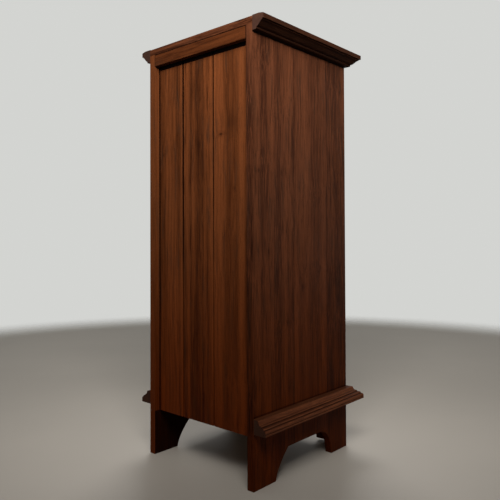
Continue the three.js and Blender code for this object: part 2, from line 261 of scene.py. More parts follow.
def merged_copy(node):
    """The node's solid with whole flat faces in place of its loose triangles."""
    bm = bmesh.new()
    bm.from_mesh(frame["nodes"][node].data)
    bmesh.ops.remove_doubles(bm, verts=bm.verts, dist=MERGE)
    bmesh.ops.dissolve_limit(bm, angle_limit=FLAT_ANGLE, verts=bm.verts, edges=bm.edges)
    return bm


def cut_across(bm, axis, places):
    """Cuts the faces at these places, where a board or its dirt ends."""
    for place in places:
        point, normal = Vector(), Vector()
        point[AXES[axis]] = place
        normal[AXES[axis]] = 1
        everything = [*bm.verts, *bm.edges, *bm.faces]
        bmesh.ops.bisect_plane(
            bm, geom=everything, dist=MERGE, plane_co=point, plane_no=normal
        )


def bevel(bm, edges, width, clamp_overlap=False):
    """Bevels the edges in two steps and gives what it made."""
    return bmesh.ops.bevel(
        bm,
        geom=edges,
        offset=width,
        offset_type="OFFSET",
        segments=2,
        profile=0.5,
        affect="EDGES",
        clamp_overlap=clamp_overlap,
        material=-1,
    )


def open_joint(bm, axis, place, outward, sizes):
    """Sinks a fine groove into the outer face along a glue joint."""

    def lies_on_joint(edge):
        on_line = all(abs(vert.co[AXES[axis]] - place) < MERGE for vert in edge.verts)
        return on_line and all(face.normal.dot(outward) > FACING for face in edge.link_faces)

    edges = [edge for edge in bm.edges if lies_on_joint(edge)]
    made = bevel(bm, edges, sizes.joint_width / 2)
    bottom = {
        vert
        for face in made["faces"]
        for vert in face.verts
        if abs(vert.co[AXES[axis]] - place) < MERGE
    }
    bmesh.ops.translate(bm, verts=list(bottom), vec=-outward * sizes.joint_depth)


def ease_arrises(bm, width):
    """Takes the sharpness off every outer edge."""
    edges = [
        edge
        for edge in bm.edges
        if edge.is_manifold and edge.is_convex and edge.calc_face_angle(0) > ARRIS_ANGLE
    ]
    bevel(bm, edges, width, clamp_overlap=True)


def relief_at(vert):
    """From 1 on an edge that hands rub to -1 in a quirk that dirt fills."""
    turns = [
        edge.calc_face_angle_signed(0)
        for edge in vert.link_edges
        if edge.calc_length() > NARROW
    ]
    sharpest = max(turns, key=abs, default=0)
    return max(-1, min(1, sharpest / FULL_RELIEF))


def is_strip(face):
    """Whether the face is a narrow one, as along an arris or a moulding."""
    return face.calc_area() < NARROW * max(edge.calc_length() for edge in face.edges)


def mark_grain(bm, board_of, soil_and_shade_of=lambda face: 0):
    """Writes on each face corner where it lies in its board, and its tone, wear, dirt and
    painted shade.
    """
    grain = bm.loops.layers.float_vector.new("grain")
    state = bm.loops.layers.float_vector.new("state")
    relief = {vert: relief_at(vert) for vert in bm.verts}
    for edge in bm.edges:
        edge.smooth = edge.calc_face_angle(0) < SMOOTH_ANGLE
    for face in bm.faces:
        face.smooth = True
        board = board_of(face.calc_center_median())
        is_end = abs(face.normal[board.order[0]]) > FACING
        has_relief = is_strip(face) and not is_end
        soil_and_shade = 0 if is_end else soil_and_shade_of(face)
        for loop in face.loops:
            wear = relief[loop.vert] * max(0, 1 - soil_and_shade) if has_relief else 0
            loop[grain] = board.grain(loop.vert.co)
            loop[state] = (board.tone, wear - soil_and_shade, is_end)


def place_piece(bm, name, node, body, slot, *finishes):
    """Makes the finished mesh an object that stands for its node and rides with its body."""
    mesh = bpy.data.meshes.new(name)
    bm.to_mesh(mesh)
    bm.free()
    for finish in finishes:
        mesh.materials.append(finish)
    piece = bpy.data.objects.new(name, mesh)
    bpy.context.scene.collection.objects.link(piece)
    shading = piece.modifiers.new("arris_shading", "WEIGHTED_NORMAL")
    shading.keep_sharp = True
    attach(piece, body)
    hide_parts(node)


def dress(node, body, slot, kind, arris, board, soil_and_shade_of=lambda face: 0, **cuts):
    """Dresses a node that is one board, cut at these places along each axis."""
    bm = merged_copy(node)
    for axis, places in cuts.items():
        cut_across(bm, axis, places)
    if arris:
        ease_arrises(bm, arris)
    mark_grain(bm, lambda centre: board, soil_and_shade_of)
    place_piece(bm, f"{node}_dressed", node, body, slot, wood(kind))


# Shader maths

# Detail and roughness of the noises
PLAIN_NOISE = (1.0, 0.5)
SOFT_NOISE = (2.0, 0.5)
CLOUDY_NOISE = (3.0, 0.5)
LIVELY_NOISE = (2.0, 0.6)
ROUGH_NOISE = (3.0, 0.6)
SMOKY_NOISE = (4.0, 0.65)

# Middle of the values that a noise takes
NOISE_MIDDLE = 0.5


class Value:
    """A socket of a finish, so that shader maths is written as a Python expression."""

    def __init__(self, finish, socket):
        self.finish = finish
        self.socket = socket

    def maths(self, operation, first, second=0.0):
        return self.finish.add(
            "ShaderNodeMath", {"operation": operation}, {0: first, 1: second}
        )

    def __add__(self, other):
        return self.maths("ADD", self, other)

    def __radd__(self, other):
        return self.maths("ADD", other, self)

    def __sub__(self, other):
        return self.maths("SUBTRACT", self, other)

    def __rsub__(self, other):
        return self.maths("SUBTRACT", other, self)

    def __mul__(self, other):
        return self.maths("MULTIPLY", self, other)

    def __rmul__(self, other):
        return self.maths("MULTIPLY", other, self)

    def __truediv__(self, other):
        return self.maths("DIVIDE", self, other)

    def __neg__(self):
        return self.maths("MULTIPLY", self, -1.0)

    def root(self):
        return self.maths("SQRT", self)

    def size(self):
        return self.maths("ABSOLUTE", self)

    def fraction(self):
        return self.maths("FRACT", self)

    def between(self, low, high):
        """0 below low and 1 above high, with a soft step between them."""
        return self.finish.add(
            "ShaderNodeMapRange",
            {"interpolation_type": "SMOOTHSTEP"},
            {"Value": self, "From Min": low, "From Max": high},
            "Result",
        )


class Finish:
    """A material whose nodes are added one by one before its surface shader."""

    def __init__(self, name):
        self.material = bpy.data.materials.new(name)
        self.material.use_nodes = True
        self.nodes = self.material.node_tree.nodes
        self.links = self.material.node_tree.links
        self.nodes.clear()

    def add(self, kind, settings=None, inputs=None, output=0):
        """Adds a node, sets it, feeds its sockets and gives one of its outputs."""
        node = self.nodes.new(kind)
        for key, value in (settings or {}).items():
            setattr(node, key, value)
        for key, value in (inputs or {}).items():
            self.feed(self.socket(node.inputs, key), value)
        return Value(self, self.socket(node.outputs, output))

    @staticmethod
    def socket(sockets, key):
        if isinstance(key, int):
            return sockets[key]
        return next(socket for socket in sockets if socket.enabled and socket.name == key)

    def feed(self, socket, value):
        if isinstance(value, Value):
            self.links.new(value.socket, socket)
        elif hasattr(value, "__len__") and socket.type == "RGBA":
            socket.default_value = (*value[:3], 1)
        else:
            socket.default_value = value

    def attribute(self, name):
        return self.add("ShaderNodeAttribute", {"attribute_name": name}, output="Vector")

    def parts(self, vector):
        """The three numbers of a vector."""
        first = self.add("ShaderNodeSeparateXYZ", inputs={"Vector": vector})
        outputs = first.socket.node.outputs
        return [Value(self, socket) for socket in outputs]

    def vector(self, first, second, third):
        return self.add("ShaderNodeCombineXYZ", inputs={"X": first, "Y": second, "Z": third})

    def noise(self, place, size, kind=SOFT_NOISE):
        """Noise from 0 to 1 whose blobs have these real sizes."""
        detail, roughness = kind
        scales = tuple(1 / part for part in size)
        scaled = self.add(
            "ShaderNodeVectorMath", {"operation": "MULTIPLY"}, {0: place, 1: scales}
        )
        inputs = {"Vector": scaled, "Scale": 1.0, "Detail": detail, "Roughness": roughness}
        return self.add("ShaderNodeTexNoise", inputs=inputs, output="Fac")

    def sway(self, place, size, kind=PLAIN_NOISE):
        """Noise around zero."""
        return self.noise(place, size, kind) - NOISE_MIDDLE

    def mix(self, factor, first, second, blend="MIX"):
        return self.add(
            "ShaderNodeMix",
            {"data_type": "RGBA", "blend_type": blend, "clamp_factor": True},
            {"Factor": factor, "A": first, "B": second},
            "Result",
        )

    def bump(self, height, distance):
        return self.add(
            "ShaderNodeBump", inputs={"Strength": 1.0, "Distance": distance, "Height": height}
        )

    def surface(self, **inputs):
        """Ends the material with its surface shader."""
        shader = self.add(
            "ShaderNodeBsdfPrincipled",
            inputs={key.replace("_", " "): value for key, value in inputs.items()},
        )
        ending = self.nodes.new("ShaderNodeOutputMaterial")
        self.feed(ending.inputs["Surface"], shader)
        return self.material


# Woods


class Figure:
    """What shows in one kind of wood: real sizes, strengths from 0 to 1, and ranges.

    A range says where a noise or a measure starts to show and where it shows in full.
    """

    wander_size = (0.60, 0.25, 0.25)
    wander_reach = 0.030
    lean_reach = 0.035
    ring_spacing = 0.0075
    ring_rise = (0.15, 0.9)
    ring_fall = (0.93, 1.0)
    ring_strength = 0.26
    season_size = (0.9, 0.03, 0.03)
    season_range = (0.36, 0.62)
    band_size = (0.8, 0.045, 0.045)
    band_range = (0.36, 0.72)
    streak_size = (0.20, 0.0075, 0.0075)
    streak_range = (0.50, 0.68)
    streak_strength = 0.66
    light_streak_range = (0.46, 0.30)
    light_streak_strength = 0.5
    thread_size = (0.11, 0.0027, 0.0027)
    thread_range = (0.52, 0.70)
    light_thread_range = (0.47, 0.34)
    thread_strength = 0.7
    fleck_size = (0.035, 0.0016, 0.0016)
    fleck_range = (0.60, 0.72)
    fleck_strength = 0.55
    smoke_size = (0.13, 0.016, 0.016)
    smoke_range = (0.50, 0.70)
    smoke_strength = 0.6
    pore_size = (0.0065, 0.00065, 0.00065)
    pore_range = (0.58, 0.68)
    pore_strength = 0.34
    tone_strength = 0.36
    end_colour = linear(40, 21, 13)
    end_strength = 0.45
    floor_shade = 1.0

    # Wear, dirt and painted shade
    blotch_size = (0.03, 0.02, 0.02)
    blotch_range = (0.38, 0.62)
    wear_range = (0.1, 0.9)
    wear_and_highlight_strength = 0.45
    dirt_and_shade_range = (0.1, 0.8)
    dirt_and_shade_strength = 0.85

    # Shine and relief
    roughness = 0.42
    smear_size = (0.22, 0.09, 0.09)
    smear_range = (0.3, 0.7)
    smear_dulling = 0.12
    pore_dulling = 0.25
    wear_polish = 0.08
    end_dulling = 0.15
    dirt_dulling = 0.2
    specular = 0.025
    coat = 0.0
    coat_roughness = 0.32
    relief_height = 0.00022
    grain_relief = 0.5
    pore_relief = 1.2

    def __init__(self, colours, **changes):
        self.colours = colours
        for name, value in changes.items():
            setattr(self, name, value)


# What sets each finish apart, after the row of colours that it takes. The top board is
# dulled where things have stood on it and dust has lain.
FIGURES = {
    "stained_case_wood": Figure("case"),
    "stained_top_wood": Figure("case", specular=0.006, roughness=0.55),
    "stained_drawer_wood": Figure(
        "case",
        ring_strength=0.5,
        lean_reach=0.10,
        smoke_strength=0.25,
        specular=0.1,
        roughness=0.4,
        coat=0.05,
    ),
    "stained_moulding_wood": Figure(
        "moulding",
        streak_size=(0.3, 0.004, 0.004),
        streak_strength=0.5,
        thread_size=(0.12, 0.002, 0.002),
        # The beads and nose are painted much lighter: rubbed wood, and in part painted highlight
        wear_and_highlight_strength=1.0,
        end_colour=linear(48, 36, 32),
        end_strength=0.85,
        floor_shade=0.3,
        roughness=0.38,
        coat=0.04,
    ),
    "stained_knob_wood": Figure(
        "moulding",
        streak_size=(0.05, 0.004, 0.004),
        ring_spacing=0.003,
        specular=0.25,
        roughness=0.32,
        coat=0.15,
    ),
    "stained_back_wood": Figure(
        "back",
        streak_size=(0.35, 0.010, 0.010),
        band_size=(1.1, 0.05, 0.05),
        thread_size=(0.16, 0.0030, 0.0030),
        thread_strength=0.38,
        fleck_strength=0.35,
        floor_shade=0.85,
        roughness=0.48,
    ),
    "bare_inner_wood": Figure(
        "inner",
        streak_strength=0.35,
        ring_strength=0.6,
        pore_strength=0.15,
        fleck_strength=0.15,
        smoke_strength=0.0,
        floor_shade=0.0,
        roughness=0.62,
    ),
}

BLACKENED = linear(16, 8, 6)
SMOKED = linear(54, 40, 31)

# Soil of the dirtiest face, and of gaps and painted shadows that read as black
FULL_SOIL = 1.0
GAP_AND_SHADOW_SOIL = 1.5

# Painted shade towards the floor: what the colour is multiplied by at the floor, and the
# height at which that ends
FLOOR_SHADE_COLOUR = (0.86, 0.45, 0.06)
FLOOR_SHADE_TOP = 0.8

# Knots, in their own half sizes: where the bend of the grain and the dark core fade out
KNOT_BEND_RANGE = (0.4, 3.2)
KNOT_BEND_SHARE = 0.35
KNOT_BEND_SHADE = 0.2
KNOT_CORE_RANGE = (0.2, 1.2)

# Upright stripes: how far they sway, how their edges fade, and the patches that break them
STRIPE_SWAY = 0.012
STRIPE_SWAY_SIZE = (0.25, 0.25, 0.5)
STRIPE_EDGE_RANGE = (0.2, 1.0)
STRIPE_PATCH_SIZE = (0.08, 0.08, 0.4)
STRIPE_PATCH_RANGE = (0.15, 0.6)
STRIPE_PATCH_STRENGTH = 0.6


def knot_field(along, across, knots):
    """Bends the grain round each knot, and gives the new place across and the knots' masks."""
    core = 0.0
    for place, half_length, half_width, strength in knots:
        from_middle = (along - place.x) / half_length
        beside = (across - place.y) / half_width
        distance = (from_middle * from_middle + beside * beside).root()
        nearness = 1 - distance.between(*KNOT_BEND_RANGE)
        across = across + beside * nearness * (half_width * KNOT_BEND_SHARE)
        dark = (1 - distance.between(*KNOT_CORE_RANGE)) * strength
        core = dark + nearness * KNOT_BEND_SHADE + core
    return across, core


def stripe_field(finish, axis, stripes):
    """How much lighter, or darker if below 0, the wood is along its upright stripes."""
    place = finish.add("ShaderNodeTexCoord", output="Object")
    sway = finish.sway(place, STRIPE_SWAY_SIZE, SOFT_NOISE)
    across = finish.parts(place)[AXES[axis]] + sway * STRIPE_SWAY
    total = 0.0
    for middle, half_width, amount in stripes:
        distance = (across - middle).size() / half_width
        total = (1 - distance.between(*STRIPE_EDGE_RANGE)) * amount + total
    patches = finish.noise(place, STRIPE_PATCH_SIZE, ROUGH_NOISE).between(*STRIPE_PATCH_RANGE)
    return total * (patches * STRIPE_PATCH_STRENGTH + (1 - STRIPE_PATCH_STRENGTH))


def make_wood(name, figure, knots, stripes):
    """Stained wood seen through worn wax: rings, bands, streaks, pores, wear, dirt and painted
    shade.
    """
    colours = bpy.context.scene.semainier_colours
    light, middle, dark = (
        tuple(getattr(colours, f"{figure.colours}_{shade}"))
        for shade in SHADES
    )
    finish = Finish(name)
    grain = finish.attribute("grain")
    tone, relief, end = finish.parts(finish.attribute("state"))
    along, across, depth = finish.parts(grain)

    across, core = knot_field(along, across, knots)
    wander = finish.sway(grain, figure.wander_size)
    lean = finish.sway(finish.vector(depth, along, across), figure.wander_size[::-1])
    across = across + wander * figure.wander_reach
    depth = depth + lean * figure.lean_reach
    place = finish.vector(along, across, depth)

    radius = (across * across + depth * depth).root()
    year = (radius / figure.ring_spacing).fraction()
    late = year.between(*figure.ring_rise) * (1 - year.between(*figure.ring_fall))
    seasons = finish.noise(place, figure.season_size, PLAIN_NOISE).between(*figure.season_range)
    rings = late * seasons * figure.ring_strength

    bands = finish.noise(place, figure.band_size).between(*figure.band_range)
    streaks = finish.noise(place, figure.streak_size, ROUGH_NOISE)
    threads = finish.noise(place, figure.thread_size, LIVELY_NOISE)
    flecks = finish.noise(place, figure.fleck_size, LIVELY_NOISE).between(*figure.fleck_range)
    smoke = finish.noise(place, figure.smoke_size, SMOKY_NOISE).between(*figure.smoke_range)
    holes = finish.noise(grain, figure.pore_size, PLAIN_NOISE).between(*figure.pore_range)
    pores = holes * figure.pore_strength

    layers = [
        (bands, light),
        (streaks.between(*figure.streak_range) * figure.streak_strength, dark),
        (streaks.between(*figure.light_streak_range) * figure.light_streak_strength, light),
        (smoke * figure.smoke_strength, SMOKED),
    ]
    if stripes:
        shifted = stripe_field(finish, *stripes)
        layers += [(shifted, light), (-shifted, dark)]
    layers += [
        (rings, dark),
        (threads.between(*figure.thread_range) * figure.thread_strength, dark),
        (threads.between(*figure.light_thread_range) * figure.thread_strength, light),
        (flecks * figure.fleck_strength, BLACKENED),
        (tone * figure.tone_strength, light),
        (tone * -figure.tone_strength, dark),
        (pores, BLACKENED),
    ]
    if knots:
        layers.append((core, BLACKENED))

    blotches = finish.noise(grain, figure.blotch_size, ROUGH_NOISE)
    # Rubbed edges are painted lighter; on the mouldings this is in part painted highlight
    worn = relief.between(*figure.wear_range) * blotches.between(*figure.blotch_range)
    # Dirt and painted shade darken the wood, and gaps and painted shadows turn it black
    dirt_and_shade = (-relief).between(*figure.dirt_and_shade_range)
    gap_and_shadow = (-relief).between(FULL_SOIL, GAP_AND_SHADOW_SOIL)
    layers += [
        (end * figure.end_strength, figure.end_colour),
        (worn * figure.wear_and_highlight_strength, light),
        (dirt_and_shade * figure.dirt_and_shade_strength + gap_and_shadow * (1 - figure.dirt_and_shade_strength), BLACKENED),
    ]
    colour = middle
    for amount, shade in layers:
        colour = finish.mix(amount, colour, shade)
    # Painted shade: the colour goes darker and redder towards the floor
    height = finish.parts(finish.add("ShaderNodeTexCoord", output="Object"))[AXES["Z"]]
    low = (1 - height.between(0, FLOOR_SHADE_TOP)) * figure.floor_shade
    colour = finish.mix(low, colour, FLOOR_SHADE_COLOUR, "MULTIPLY")

    smears = finish.noise(grain, figure.smear_size, ROUGH_NOISE).between(*figure.smear_range)
    shine = figure.roughness + smears * figure.smear_dulling + pores * figure.pore_dulling
    shine = shine - worn * figure.wear_polish + end * figure.end_dulling
    shape = figure.grain_relief * (streaks + threads - rings) - pores * figure.pore_relief
    return finish.surface(
        Base_Color=colour,
        Roughness=shine + dirt_and_shade * figure.dirt_dulling,
        Specular_IOR_Level=figure.specular,
        Coat_Weight=figure.coat * (1 - dirt_and_shade),
        Coat_Roughness=figure.coat_roughness,
        Normal=finish.bump(shape, figure.relief_height),
    )


def wood(kind, name=None, knots=(), stripes=None):
    """The material of a kind of wood, made the first time that it is asked for."""
    name = name or kind
    return bpy.data.materials.get(name) or make_wood(name, FIGURES[kind], knots, stripes)


# Pieces of the case


# Side panels: how far the glue joints lie from the back, and for each board, from the
# front, its heart and tone
SIDE_JOINTS = (0.089, 0.177, 0.341)
SIDE_HEARTS = ((0.05, 0.10), (0.03, 0.11), (0.02, 0.07), (0.09, 0.13))
SIDE_TONES = (-0.25, 0.4, 0.3, 0.2)
EDGE_HEART = (0.02, 0.1)
EDGE_TONES = {"left": -0.4, "right": 0.9}

# Painted shade on the side panels: on the inner faces of their feet, painted shadow below the
# crown, and painted shade just above the base moulding
FEET_SHADE = 0.8
CROWN_SHADOW = 1.3
BASE_LINE_SHADE = 0.5

# Stripes of the side panels, each as its distance from the back, half width and amount
SIDE_STRIPES = (
    (0.003, 0.008, -0.2),
    (0.038, 0.010, -0.4),
    (0.084, 0.014, 0.4),
    (0.112, 0.011, -0.4),
    (0.141, 0.009, 0.6),
    (0.166, 0.006, 0.4),
    (0.190, 0.010, 0.6),
    (0.240, 0.024, 0.35),
    (0.298, 0.010, -0.3),
    (0.322, 0.010, 0.3),
    (0.405, 0.040, -0.3),
)

# Knots of the left side panel, each as its depth and height, half length, half width and
# strength
SIDE_KNOTS = (
    (0.2200, 0.8360, 0.008, 0.0050, 0.4),
    (0.1223, 0.8387, 0.012, 0.0040, 0.3),
    (0.0680, 0.9100, 0.075, 0.0090, 0.3),
    (0.1802, 0.6217, 0.010, 0.0040, 0.3),
    (0.0267, 0.5150, 0.014, 0.0050, 0.4),
)


class SEMAINIER_OT_side_panels(bpy.types.Operator):
    """Dress both side panels, each glued up from four boards"""

    bl_idname = "semainier.side_panels"
    bl_label = "Side panels"

    def execute(self, context):
        sizes = context.scene.semainier_sizes
        joints = sorted(BACK - distance for distance in SIDE_JOINTS)
        under_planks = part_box("back_plank_1")[0].z
        behind_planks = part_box("back_plank_1")[1].y
        inner_reach = INNER_SIDE + sizes.case_arris
        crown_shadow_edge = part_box("crown_moulding_left")[0].z - sizes.crown_shade
        base_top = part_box("base_moulding_left")[1].z
        base_shade_edge = base_top + sizes.base_shade
        for side, sign in SIDES.items():
            node = f"side_panel_{side}"
            outward = Vector((sign, 0, 0))
            boards = glued_up(node, node, "Z", joints, SIDE_HEARTS, SIDE_TONES)
            rear_edge = Board(
                f"{node} edge", "Z", "X", middle_of(node), EDGE_HEART, EDGE_TONES[side]
            )

            def board_of(centre):
                is_recess = centre.y > behind_planks and abs(centre.x) < inner_reach
                if is_recess or centre.y > BACK - sizes.case_arris:
                    return rear_edge
                return boards[sum(centre.y > joint for joint in joints)]

            def soil_and_shade_of(face):
                centre = face.calc_center_median()
                facing = face.normal.dot(outward)
                # Painted shade inside the feet, painted shadow below the crown, painted shade
                # above the base
                if facing < -FACING and centre.z < under_planks:
                    return FEET_SHADE
                if facing > FACING and centre.z > crown_shadow_edge:
                    return CROWN_SHADOW
                if facing > FACING and base_top < centre.z < base_shade_edge:
                    return BASE_LINE_SHADE
                return any(abs(centre.y - joint) < sizes.joint_width for joint in joints)

            knots = []
            for depth, height, *rest in SIDE_KNOTS if side == "left" else ():
                place = Vector((-OUTER_SIDE, depth, height))
                knots.append((board_of(place).grain(place), *rest))
            stripes = [(BACK - distance, *rest) for distance, *rest in SIDE_STRIPES]
            if sign > 0:
                stripes = [(FRONT + BACK - place, *rest) for place, *rest in stripes]
            finish = wood("stained_case_wood", f"stained_{node}", knots, ("Y", stripes))
            bm = merged_copy(node)
            cut_across(bm, "Y", joints)
            cut_across(bm, "Z", (under_planks, base_top, base_shade_edge, crown_shadow_edge))
            for joint in joints:
                open_joint(bm, "Y", joint, outward, sizes)
            ease_arrises(bm, sizes.case_arris)
            mark_grain(bm, board_of, soil_and_shade_of)
            for face in bm.faces:
                face.material_index = int(board_of(face.calc_center_median()) is rear_edge)
            edge_finish = wood("stained_back_wood") if side == "right" else finish
            place_piece(
                bm, f"{node}_dressed", node, CASE, "case_wood", finish, edge_finish
            )
        return {"FINISHED"}


# Top board, from the front: its joints as shares of its depth, and its boards' hearts and
# tones, which are left to chance
TOP_JOINT_SHARES = (0.31, 0.64)
TOP_HEARTS = ((0.0, 0.09), (0.03, 0.09), (0.06, 0.09))
TOP_TONES = (None, None, None)


class SEMAINIER_OT_top_and_apron(bpy.types.Operator):
    """Dress the top board, the front apron and the glue blocks behind it"""

    bl_idname = "semainier.top_and_apron"
    bl_label = "Top board and apron"

    def execute(self, context):
        sizes = context.scene.semainier_sizes
        joints = [FRONT + (BACK - FRONT) * share for share in TOP_JOINT_SHARES]
        boards = glued_up("top_board", "top", "X", joints, TOP_HEARTS, TOP_TONES)
        middle = middle_of("top_board")
        rear_edge = Board("top edge", "X", "Z", middle, heart=(0.02, 0.07), tone=-0.35)

        def board_of(centre):
            if centre.y > BACK - sizes.case_arris:
                return rear_edge
            return boards[sum(centre.y > joint for joint in joints)]

        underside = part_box("top_board")[0].z + sizes.case_arris

        def soil_and_shade_of(face):
            centre = face.calc_center_median()
            is_low = centre.z < underside and centre.y > BACK - sizes.case_arris
            return is_low and abs(centre.x) < INNER_SIDE

        bm = merged_copy("top_board")
        cut_across(bm, "Y", joints)
        cut_across(bm, "X", (-INNER_SIDE, INNER_SIDE))
        for joint in joints:
            open_joint(bm, "Y", joint, Vector((0, 0, 1)), sizes)
        ease_arrises(bm, sizes.case_arris)
        mark_grain(bm, board_of, soil_and_shade_of)
        finish = wood("stained_top_wood")
        place_piece(bm, "top_board_dressed", "top_board", CASE, "case_wood", finish)

        apron = Board("apron", "X", "Z", middle_of("front_apron"))
        arris = sizes.case_arris
        dress("front_apron", CASE, "case_wood", "stained_case_wood", arris, apron)
        for side in SIDES:
            node = f"glue_block_{side}"
            board = Board(node, "Z", "Y", middle_of(node))
            dress(node, CASE, "inner_wood", "bare_inner_wood", sizes.inner_arris, board)
        return {"FINISHED"}


# How far up the crown its hollow reaches, and the painted shade under its overhang
CROWN_HOLLOW_SHARE = 0.59
CROWN_HOLLOW_SHADE = 0.8

# How much darker a whole moulding is made, and the dirt on its faces that look straight up
MOULDING_DARKENING = {"crown_moulding": 0.68, "base_moulding": 0.0}
UPWARD_SOIL = 0.6


def moulding_soil_and_shade(row, node):
    """Gives a function for how dark a face is made, by where it lies and which way it looks.

    Painted shade in the crown's hollow and on faces that look down, dirt on faces that look up.
    """
    low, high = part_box(node)
    hollow = low.z + (high.z - low.z) * CROWN_HOLLOW_SHARE

    def soil_and_shade_of(face):
        if row == "crown_moulding" and face.calc_center_median().z < hollow:
            return CROWN_HOLLOW_SHADE
        # Painted shade on faces that look down, dirt on faces that look up
        return max(MOULDING_DARKENING[row], -face.normal.z, UPWARD_SOIL * face.normal.z)

    return soil_and_shade_of


class SEMAINIER_OT_mouldings(bpy.types.Operator):
    """Dress the crown and base mouldings, three mitred lengths of each"""

    bl_idname = "semainier.mouldings"
    bl_label = "Mouldings"

    def execute(self, context):
        for row in ("crown_moulding", "base_moulding"):
            for place, along, across in (
                ("front", "X", "Z"),
                ("left", "Y", "Z"),
                ("right", "Y", "Z"),
            ):
                node = f"{row}_{place}"
                board = Board(node, along, across, middle_of(node), heart=(0.02, 0.08))
                soil_and_shade_of = moulding_soil_and_shade(row, node)
                dress(node, CASE, "moulding_wood", "stained_moulding_wood", 0, board, soil_and_shade_of)
        return {"FINISHED"}


# Knots of the back planks, each as its place across and height, half length, half width
# and strength
PLANK_KNOTS = {
    1: (
        (-0.077, 0.947, 0.005, 0.0085, 0.5),
        (-0.118, 0.975, 0.020, 0.0220, 0.15),
        (-0.1285, 0.793, 0.006, 0.0030, 0.25),
        (-0.1744, 0.908, 0.004, 0.0025, 0.4),
    ),
    2: (
        (0.0170, 0.925, 0.045, 0.0140, 0.25),
        (0.0300, 1.090, 0.040, 0.0120, 0.2),
    ),
    3: ((0.1677, 0.912, 0.005, 0.0030, 0.3),),
}

# Stripes of the back planks, each as its place across, half width and amount
PLANK_STRIPES = {
    1: ((-0.072, 0.014, 0.8), (-0.106, 0.016, -0.3), (-0.156, 0.018, 0.8)),
    2: (
        (0.057, 0.009, 0.9),
        (0.043, 0.006, -0.5),
        (0.018, 0.016, -0.6),
        (-0.014, 0.008, 0.6),
        (-0.038, 0.008, 0.8),
    ),
    3: ((0.086, 0.006, 0.6), (0.130, 0.030, 0.4)),
}
PLANK_HEARTS = {1: (0.06, 0.14), 2: (0.0, 0.05), 3: (-0.09, 0.16)}
PLANK_TONES = {1: 0.4, 2: -0.1, 3: 0.1}

# How dark the joints of the back are made, fading downwards, as heights and the darkness there
JOINT_FADE = ((0.13, 0.2), (0.40, 0.45), (0.56, 0.5), (0.72, 1.2), (0.82, GAP_AND_SHADOW_SOIL))


def joint_darkness(height):
    """How dark a joint of the back is made at a height, between the heights for which it is
    given.
    """
    for (low, soil_and_shade), (high, soil_above) in zip(JOINT_FADE, JOINT_FADE[1:]):
        if height < high:
            share = max(0, (height - low) / (high - low))
            return soil_and_shade + (soil_above - soil_and_shade) * share
    return GAP_AND_SHADOW_SOIL


def darken_joints(bm, open_depth):
    """Darkens the walls and the tongues of the joints of one plank, fading downwards."""
    state = bm.loops.layers.float_vector["state"]
    for face in bm.faces:
        is_shown = face.normal.y > -FACING and abs(face.normal.z) < FACING
        if is_shown and face.calc_center_median().y < open_depth:
            for loop in face.loops:
                tone, _, is_end = loop[state]
                loop[state] = (tone, -joint_darkness(loop.vert.co.z), is_end)


class SEMAINIER_OT_back(bpy.types.Operator):
    """Dress the rail and the planks of the back"""

    bl_idname = "semainier.back"
    bl_label = "Back"

    def execute(self, context):
        sizes = context.scene.semainier_sizes
        # Painted shadow of the rail: the planks are painted black from here up, also behind the
        # rail
        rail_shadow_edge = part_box("back_top_rail")[0].z - sizes.rail_shade
        # Painted shade: the planks are painted dark beyond this, in the corners by the side
        # panels
        corner_shade_edge = INNER_SIDE - sizes.corner_shade
        for number, knots in PLANK_KNOTS.items():
            node = f"back_plank_{number}"
            board = Board(
                node, "Z", "X", middle_of(node), PLANK_HEARTS[number], PLANK_TONES[number]
            )
            fields = [
                (board.grain(Vector((across, BACK, height))), *rest)
                for across, height, *rest in knots
            ]
            open_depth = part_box(node)[1].y - 2 * sizes.plank_arris

            def soil_and_shade_of(face):
                centre = face.calc_center_median()
                # Painted shadow below the rail
                if centre.z > rail_shadow_edge:
                    return GAP_AND_SHADOW_SOIL
                # Painted shade in the corners by the side panels, and darkened edges and tongues
                # of the plank
                return centre.y < open_depth or abs(centre.x) > corner_shade_edge

            stripes = ("X", PLANK_STRIPES[number])
            finish = wood("stained_back_wood", f"stained_{node}", fields, stripes)
            bm = merged_copy(node)
            cut_across(bm, "Z", (*(height for height, _ in JOINT_FADE[1:]), rail_shadow_edge))
            cut_across(bm, "X", (-corner_shade_edge, corner_shade_edge))
            ease_arrises(bm, sizes.plank_arris)
            mark_grain(bm, lambda centre: board, soil_and_shade_of)
            darken_joints(bm, open_depth)
            place_piece(bm, f"{node}_dressed", node, CASE, "back_wood", finish)
        self.dress_rail(sizes)
        return {"FINISHED"}

    def dress_rail(self, sizes):
        node = "back_top_rail"
        board = Board("rail", "X", "Z", middle_of(node), heart=(0.03, 0.06), tone=-1.5)
        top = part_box(node)[1].z - sizes.rail_seam
        end = INNER_SIDE - sizes.rail_seam

        def soil_and_shade_of(face):
            centre = face.calc_center_median()
            return centre.z > top or abs(centre.x) > end

        cuts = {"Z": (top,), "X": (-end, end)}
        finish = "back_wood", "stained_back_wood"
        dress(node, CASE, *finish, sizes.plank_arris, board, soil_and_shade_of, **cuts)


